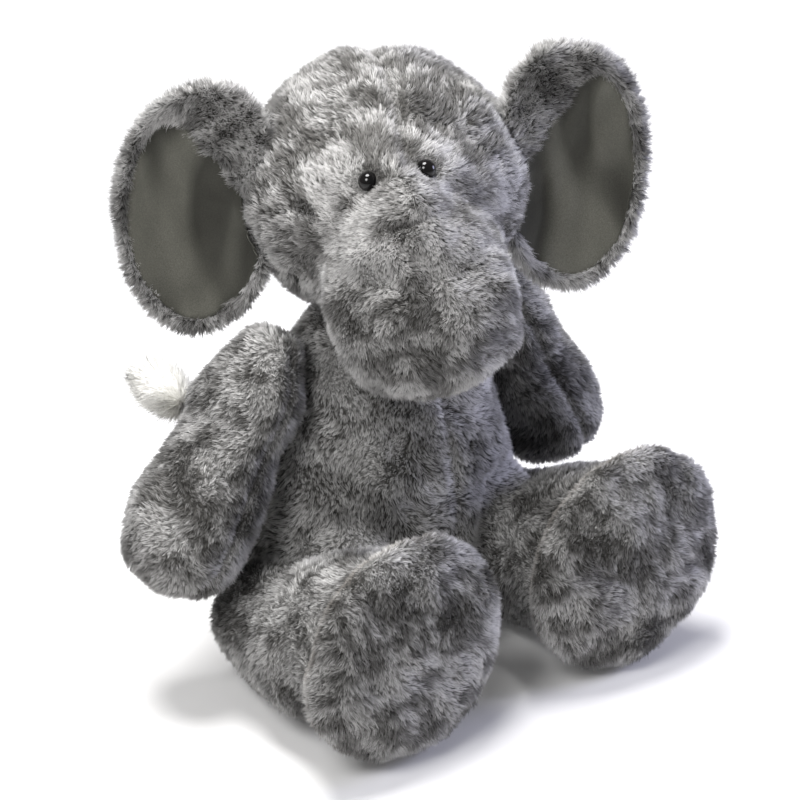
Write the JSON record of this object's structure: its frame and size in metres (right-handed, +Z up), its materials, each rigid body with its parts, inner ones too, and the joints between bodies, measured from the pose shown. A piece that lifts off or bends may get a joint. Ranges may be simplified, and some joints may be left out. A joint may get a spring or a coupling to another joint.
{
  "type": "plush elephant",
  "caption": "Seated soft plush elephant with large lined ears, a thick drooping trunk, jointed limbs, flared feet and a tufted tail.",
  "frame": {"origin": "centre of the flat seat panel, on the surface it sits on", "axes": "+Z up; the elephant faces -Y, so its left side is +X; its head is turned 29 degrees to its right"},
  "size_m": [0.4255, 0.4036, 0.4548],
  "materials": {
    "grey_fur": "long tipped pile, mottled mid and dark grey",
    "fibre_fill": "loose polyester fibre",
    "pellet_cloth": "plain woven bag",
    "eye_black": "polished black",
    "washer_white": "moulded",
    "ear_velour": "short velour, grey-brown",
    "tail_tuft_cream": "long cream pile"
  },
  "bodies": {
    "torso": {"torso_left_panel": "grey_fur", "torso_right_panel": "grey_fur", "seat_panel": "grey_fur", "torso_stuffing": "fibre_fill", "pellet_bag": "pellet_cloth"},
    "neck": {"neck_stuffing": "fibre_fill"},
    "head": {"head_left_panel": "grey_fur", "head_right_panel": "grey_fur", "head_stuffing": "fibre_fill", "left_eye": "eye_black", "right_eye": "eye_black", "left_eye_washer": "washer_white", "right_eye_washer": "washer_white"},
    "trunk": {"trunk_upper_panel": "grey_fur", "trunk_under_panel": "grey_fur", "trunk_stuffing": "fibre_fill"},
    "left_ear": {"left_ear_back": "grey_fur", "left_ear_padding": "fibre_fill", "left_ear_lining": "ear_velour"},
    "left_arm": {"left_arm_outer_panel": "grey_fur", "left_arm_inner_panel": "grey_fur", "left_arm_stuffing": "fibre_fill"},
    "left_leg": {"left_leg_skin": "grey_fur", "left_foot_sole": "grey_fur", "left_leg_stuffing": "fibre_fill"},
    "right_ear": {"right_ear_back": "grey_fur", "right_ear_padding": "fibre_fill", "right_ear_lining": "ear_velour"},
    "right_arm": {"right_arm_outer_panel": "grey_fur", "right_arm_inner_panel": "grey_fur", "right_arm_stuffing": "fibre_fill"},
    "right_leg": {"right_leg_skin": "grey_fur", "right_foot_sole": "grey_fur", "right_leg_stuffing": "fibre_fill"},
    "tail": {"tail_cord": "grey_fur", "tail_tuft": "tail_tuft_cream"}
  },
  "joints": [
    {"name": "neck_turn", "type": "hinge", "parent": "torso", "child": "neck", "pos_m": [0, 0.008, 0.26], "axis": [0, 0, 1], "range_deg": [-31, 4]},
    {"name": "head_nod", "type": "hinge", "parent": "neck", "child": "head", "pos_m": [0, 0.008, 0.352], "axis": [0.8746, -0.4848, 0], "range_deg": [-8, 4]},
    {"name": "trunk_lift", "type": "hinge", "parent": "head", "child": "trunk", "pos_m": [-0.02302, -0.0387, 0.33417], "axis": [-0.8661, 0.4801, -0.1392], "range_deg": [-6, 6]},
    {"name": "left_ear_swing", "type": "hinge", "parent": "head", "child": "left_ear", "pos_m": [0.09271, -0.04339, 0.358], "axis": [0, 0, -1], "range_deg": [-25, 6]},
    {"name": "right_ear_swing", "type": "hinge", "parent": "head", "child": "right_ear", "pos_m": [-0.09271, 0.05939, 0.348], "axis": [0, 0, 1], "range_deg": [-25, 6]},
    {"name": "left_arm_lift", "type": "hinge", "parent": "torso", "child": "left_arm", "pos_m": [0.101, 0.014, 0.241], "axis": [0, -1, 0], "range_deg": [0, 40]},
    {"name": "right_arm_lift", "type": "hinge", "parent": "torso", "child": "right_arm", "pos_m": [-0.098, 0.014, 0.246], "axis": [0, 1, 0], "range_deg": [0, 40]},
    {"name": "left_leg_raise", "type": "hinge", "parent": "torso", "child": "left_leg", "pos_m": [0.098, -0.006, 0.05], "axis": [-0.9994, 0.0349, 0], "range_deg": [-20, 8]},
    {"name": "right_leg_raise", "type": "hinge", "parent": "torso", "child": "right_leg", "pos_m": [-0.108, -0.003, 0.05], "axis": [-1, 0, 0], "range_deg": [-20, 8]},
    {"name": "tail_swing", "type": "hinge", "parent": "torso", "child": "tail", "pos_m": [0, 0.107, 0.095], "axis": [1, 0, 0], "range_deg": [-30, 30]}
  ]
}
